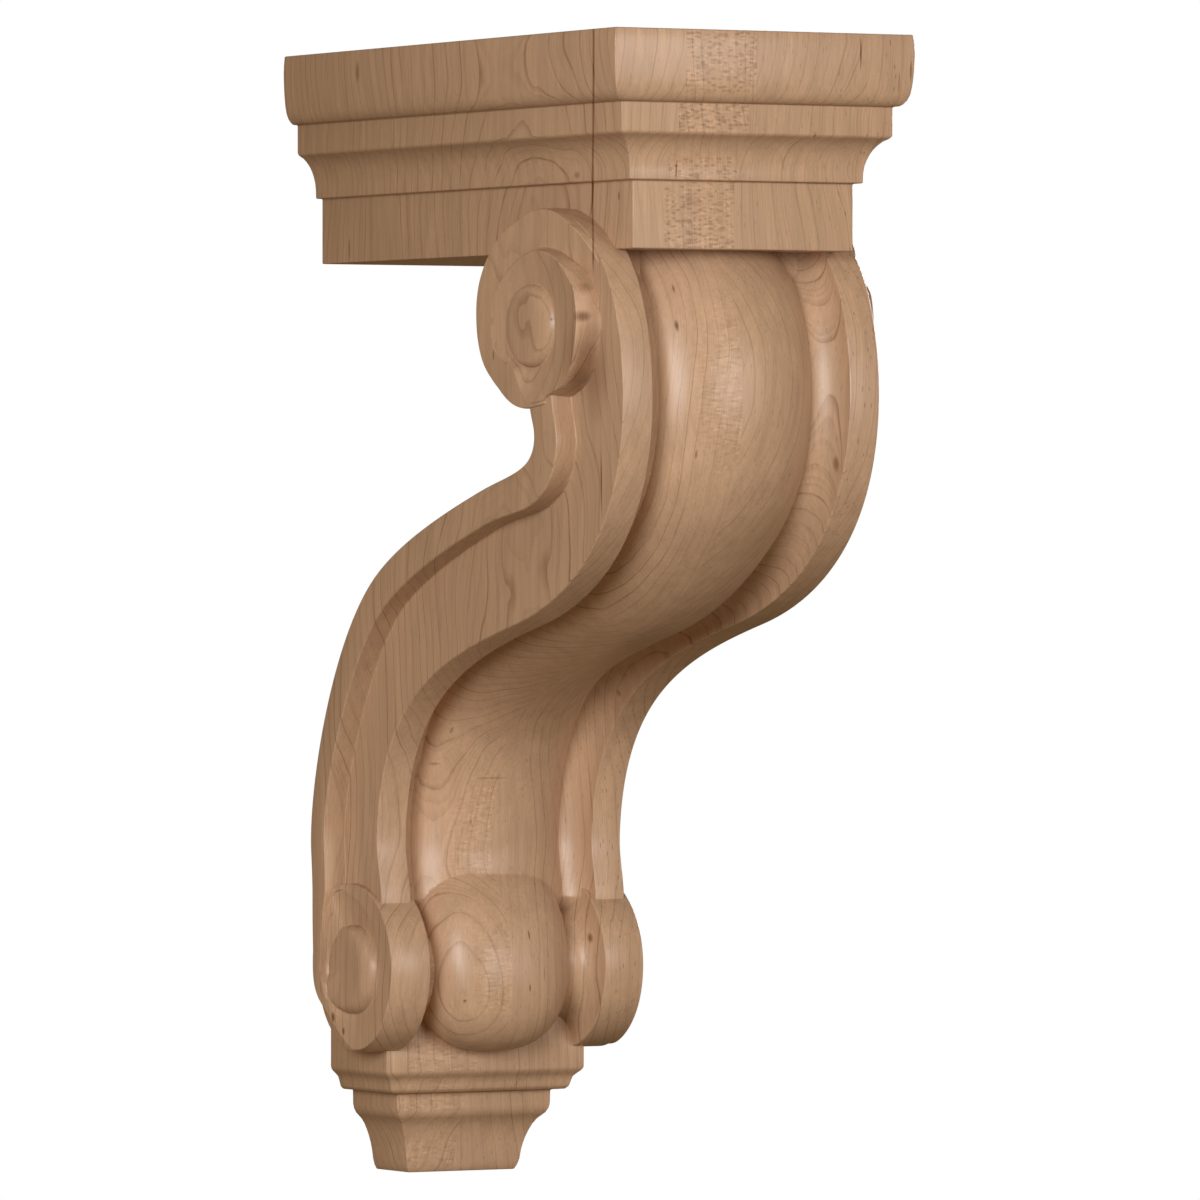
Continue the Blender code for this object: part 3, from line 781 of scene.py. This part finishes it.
# Rays of the quarter-sawn board: dark and pale bars 2 mm long, only on faces turned to the front
ray_space = add_node(tree, "ShaderNodeMapping", {0: placed, 3: (0.50, 0.05, 1.25)}).outputs[0]
ray = add_node(tree, "ShaderNodeTexVoronoi", {"Vector": ray_space, "Scale": 1.0, "Randomness": 0.9})
ray_core = between(ray.outputs["Distance"], 0.72, 0.36)
ray_pick = add_node(tree, "ShaderNodeSeparateColor", {0: ray.outputs["Color"]}).outputs[0]
on_board = maths("COMPARE", board[2], QUARTERED_SHADE, 0.03)
quartered = maths("MULTIPLY", on_board, between(facing["Y"], -0.88, -0.97))
ray_core = maths("MULTIPLY", ray_core, quartered)
dark_ray = maths("MULTIPLY", ray_core, between(ray_pick, 0.35, 0.70))
# Below the cap the carved surface cuts the rays at a slant, so they show fainter
dark_ray = maths("MULTIPLY", dark_ray, between(axes["Z"], -50.0, -34.0, 0.5, 1.0))
pale_ray = maths("MULTIPLY", ray_core, between(ray_pick, 0.35, 0.1))

# Marks of this one corbel, in the frame's own millimetres: (middle, half sizes, strength). Flecks, pin marks,
# torn grain by the upper volute, dark lines in the ends of the mouldings, and one painted shade on the
# upper volute's lower front wall, which faces down and forward, away from the lamps
MARKS_AND_PAINTED_SHADE = [
    ((-52.5, -50.9, 26.0), (4.0, 1.5, 4.0), 0.5), ((-40.9, -172.7, -10.0), (4.0, 2.2, 1.3), 0.45),
    ((-38.6, -18.8, -29.0), (4.0, 0.6, 5.0), 0.6), ((-21.6, -201.0, -56.0), (0.7, 3.0, 2.4), 1.0),
    ((-20.4, -197.0, -44.7), (0.45, 3.0, 1.9), 0.7), ((-16.6, -203.7, -95.4), (0.45, 3.0, 1.9), 0.6),
    ((-21.8, -205.5, -80.0), (0.45, 3.0, 4.0), 0.4), ((-50.6, -173.2, -54.0), (1.5, 0.7, 0.7), 1.0),
    ((-50.0, -192.4, -53.6), (4.0, 2.6, 2.3), 0.75), ((-48.6, -190.8, -45.5), (3.0, 1.6, 5.0), 0.4),
    ((-23.6, -47.7, -191.9), (2.4, 3.0, 0.7), 0.5), ((-21.2, -55.9, -181.4), (0.5, 3.0, 1.6), 0.6),
    ((-5.6, -52.7, -196.5), (6.5, 3.0, 0.5), 0.35), ((-10.7, -48.3, -210.4), (0.5, 3.0, 1.4), 0.5),
    ((33.0, -66.3, -169.7), (2.5, 1.0, 1.6), 0.45), ((-18.0, -57.8, -266.6), (0.6, 3.0, 0.6), 0.7),
    ((3.9, -60.0, -246.1), (0.4, 3.0, 2.0), 0.8), ((3.2, -61.9, -262.8), (0.45, 3.0, 1.6), 0.7),
    ((8.6, -60.0, -258.5), (0.4, 3.0, 3.2), 0.6), ((30.1, -52.5, -247.8), (0.8, 2.0, 2.0), 0.7),
    ((33.7, -201.3, -98.0), (1.5, 1.5, 3.2), 0.6), ((33.2, -217.0, 27.0), (0.4, 3.0, 6.5), 0.8),
    ((-24.9, -205.6, -9.0), (0.35, 3.0, 3.4), 0.9), ((-44.7, -194.6, -104.0), (1.5, 0.6, 12.0), 0.8),
    ((51.0, -217.0, 22.0), (0.5, 3.0, 4.0), 0.7), ((47.0, -217.0, 18.0), (0.4, 3.0, 4.5), 0.5),
    # Painted shade: the upper volute's lower front wall, turned down and forward, is darkened as if in shade
    ((-48.3, -190.5, -71.0), (5.5, 12.0, 22.0), 0.6),
    ((-48.8, -26.9, -272.2), (1.5, 1.0, 2.0), 0.8), ((-47.3, -31.2, -276.5), (1.5, 0.8, 1.5), 0.7),
]
marks_and_painted_shade = None
for middle, half_sizes, strength in MARKS_AND_PAINTED_SHADE:
    away = vector_maths("DIVIDE", vector_maths("SUBTRACT", mm, middle), half_sizes)
    spot = between(vector_maths("LENGTH", away, output="Value"), 1.0, 0.35, 0.0, strength)
    marks_and_painted_shade = maths("MAXIMUM", marks_and_painted_shade, spot) if marks_and_painted_shade else spot

# One strong dark line runs down the left of the cap and into the upper volute, slanting into the wood
LINE_PLACE = (-45.5, -191.0, 0.0)
LINE_SQUARE = (0.879, -0.476, 0.0)
from_line = vector_maths("SUBTRACT", mm, LINE_PLACE)
slant = vector_maths("DOT_PRODUCT", from_line, LINE_SQUARE, output="Value")
slant = between(maths("ABSOLUTE", slant), 0.42, 0.1)
slant = maths("MULTIPLY", slant, between(axes["Z"], -42.0, -36.0))
slant = maths("MULTIPLY", slant, between(axes["X"], -37.0, -38.0, 0.0, 0.75))
marks_and_painted_shade = maths("MAXIMUM", marks_and_painted_shade, slant)

# Colour: pale early wood and brown late wood
EARLY = linear("#D0AC8C")
LATE = linear("#74431F")
# Lightness from the fibre, the clouds, the grit and the board: (pattern, from, to, lightness at each)
tone = between(fine, 0.3, 0.7, 0.93, 1.06)
for pattern, start, end, darker, lighter in [
    (broad, 0.3, 0.7, 0.91, 1.08),
    (cloud, 0.3, 0.7, 0.95, 1.04),
    (grit, 0.3, 0.7, 0.965, 1.03),
    (board[2], 0.4, 0.6, 0.97, 1.03),
]:
    tone = maths("MULTIPLY", tone, between(pattern, start, end, darker, lighter))
PALE_RAY_GAIN = 0.13
tone = maths("MULTIPLY", tone, maths("MULTIPLY_ADD", pale_ray, PALE_RAY_GAIN, 1.0))
# End grain on faces turned up or down drinks light
END_GRAIN = 0.80
end_tone = between(maths("ABSOLUTE", facing["Z"]), 0.35, 1.0, 1.0, END_GRAIN)
tone = maths("MULTIPLY", tone, end_tone)
# The late wood is stronger on the sides than on the front, and each kind of mark has its own strength
dark = maths("MULTIPLY", late, between(maths("ABSOLUTE", facing["Y"]), 0.5, 0.9, 0.85, 0.55))
for kind, strength in ((small_line, 0.17), (dash, 0.42), (dark_ray, 0.36), (fleck, 0.60)):
    dark = maths("MULTIPLY_ADD", kind, strength, dark)
# The marks darken towards the late wood, and so does the painted shade on the upper volute's wall
dark = maths("ADD", dark, marks_and_painted_shade, clamp=True)
wood = add_node(tree, "ShaderNodeMix", {0: dark, 6: EARLY, 7: LATE}, data_type="RGBA").outputs[2]
tone = add_node(tree, "ShaderNodeCombineColor", {0: tone, 1: tone, 2: tone}).outputs[0]
toned = add_node(tree, "ShaderNodeMix", {0: 1.0, 6: wood, 7: tone}, data_type="RGBA", blend_type="MULTIPLY")
tree.links.new(toned.outputs[2], shader.inputs["Base Color"])

# Surface: sanded fibre with a silky shine. Fibre and grit give the relief, a tenth of a millimetre at most,
# and the fibre varies the shine
height = maths("MULTIPLY_ADD", grit, 0.5, maths("MULTIPLY", fine, 0.8))
bump = add_node(tree, "ShaderNodeBump", {"Height": height, "Strength": 0.35, "Distance": 0.0001}).outputs[0]
tree.links.new(bump, shader.inputs["Normal"])
tree.links.new(between(fine, 0.3, 0.7, 0.31, 0.42), shader.inputs["Roughness"])
shader.inputs["IOR"].default_value = 1.5

corbel.data.materials.clear()
corbel.data.materials.append(maple)
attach(corbel, "root")
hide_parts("corbel")

# Floor
# Plain pale studio paper, far enough below the corbel that no shadow falls on it in the picture.
FLOOR_SIZE = 60.0
FLOOR_HEIGHT = -3.4
start_fresh()
bpy.ops.mesh.primitive_plane_add(size=FLOOR_SIZE, location=(0, 0, FLOOR_HEIGHT))
floor = bpy.context.object
floor.name = "floor"
paper = bpy.data.materials.new("pale_paper")
paper.use_nodes = True
paper_shader = paper.node_tree.nodes["Principled BSDF"]
paper_shader.inputs["Base Color"].default_value = linear("#FAFAFA")
paper_shader.inputs["Roughness"].default_value = 0.9
paper_shader.inputs["Emission Color"].default_value = linear("#FFFFFF")
paper_shader.inputs["Emission Strength"].default_value = 1.0
floor.data.materials.append(paper)
floor.visible_diffuse = False
floor.visible_glossy = False
floor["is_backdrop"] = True

# Light and camera
# A large soft key from the left, a weaker lamp just right of the front, a rear lamp behind on the right, and
# a weak warm fill, as in a product picture on white. The camera sees plain white and none of the lamps.
scene = bpy.context.scene
scene.view_settings.view_transform = "Standard"
world = bpy.data.worlds.new("studio")
scene.world = world
world.use_nodes = True
sky = world.node_tree
for old in list(sky.nodes):
    sky.nodes.remove(old)
FILL_COLOUR = (1.0, 0.66, 0.33, 1.0)
FILL_STRENGTH = 0.165
fill = add_node(sky, "ShaderNodeBackground", {"Color": FILL_COLOUR, "Strength": FILL_STRENGTH})
white = add_node(sky, "ShaderNodeBackground", {"Color": (1.0, 1.0, 1.0, 1.0), "Strength": 1.0})
seen = add_node(sky, "ShaderNodeLightPath").outputs["Is Camera Ray"]
mixed = add_node(sky, "ShaderNodeMixShader", {0: seen, 1: fill.outputs[0], 2: white.outputs[0]})
add_node(sky, "ShaderNodeOutputWorld", {0: mixed.outputs[0]})

# (name, degrees round from the front towards the left, degrees up, metres away, size in metres, watts)
LIGHTS = [
    ("key", 45.0, 9.0, 2.4, 1.0, 31.0),
    ("second", -15.0, 7.0, 2.4, 1.0, 14.5),
    ("rear", -132.0, 14.0, 2.4, 1.2, 32.0),
]
# The lamps point at the middle of the corbel
aim = Vector((0, -0.1, -0.14))
for name, azimuth, elevation, distance, size, watts in LIGHTS:
    lamp = bpy.data.lights.new(name, "AREA")
    lamp.shape = "DISK"
    lamp.size = size
    lamp.energy = watts
    holder = bpy.data.objects.new(name, lamp)
    scene.collection.objects.link(holder)
    holder.visible_camera = False
    around = math.radians(azimuth)
    above = math.radians(elevation)
    away = Vector((-math.sin(around) * math.cos(above), -math.cos(around) * math.cos(above), math.sin(above)))
    holder.location = aim + away * distance
    holder.rotation_euler = (-away).to_track_quat("-Z", "Y").to_euler()

# The picture's camera, solved from the corners of the cap and the foot: place in metres, turns in radians
CAMERA_PLACE = (-1.56899, -2.93785, -0.12235)
YAW = 0.50704
PITCH = -0.00542
ROLL = 0.00044
LENS_MM = 311.02
SENSOR_MM = 36.0
camera_data = bpy.data.cameras.new("camera")
camera_data.lens = LENS_MM
camera_data.sensor_width = SENSOR_MM
camera_data.clip_start = 0.05
camera_data.clip_end = 200.0
camera = bpy.data.objects.new("camera", camera_data)
scene.collection.objects.link(camera)
camera.location = CAMERA_PLACE
camera.rotation_mode = "XYZ"
camera.rotation_euler = (math.radians(90) + PITCH, ROLL, -YAW)
scene.camera = camera

low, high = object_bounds()
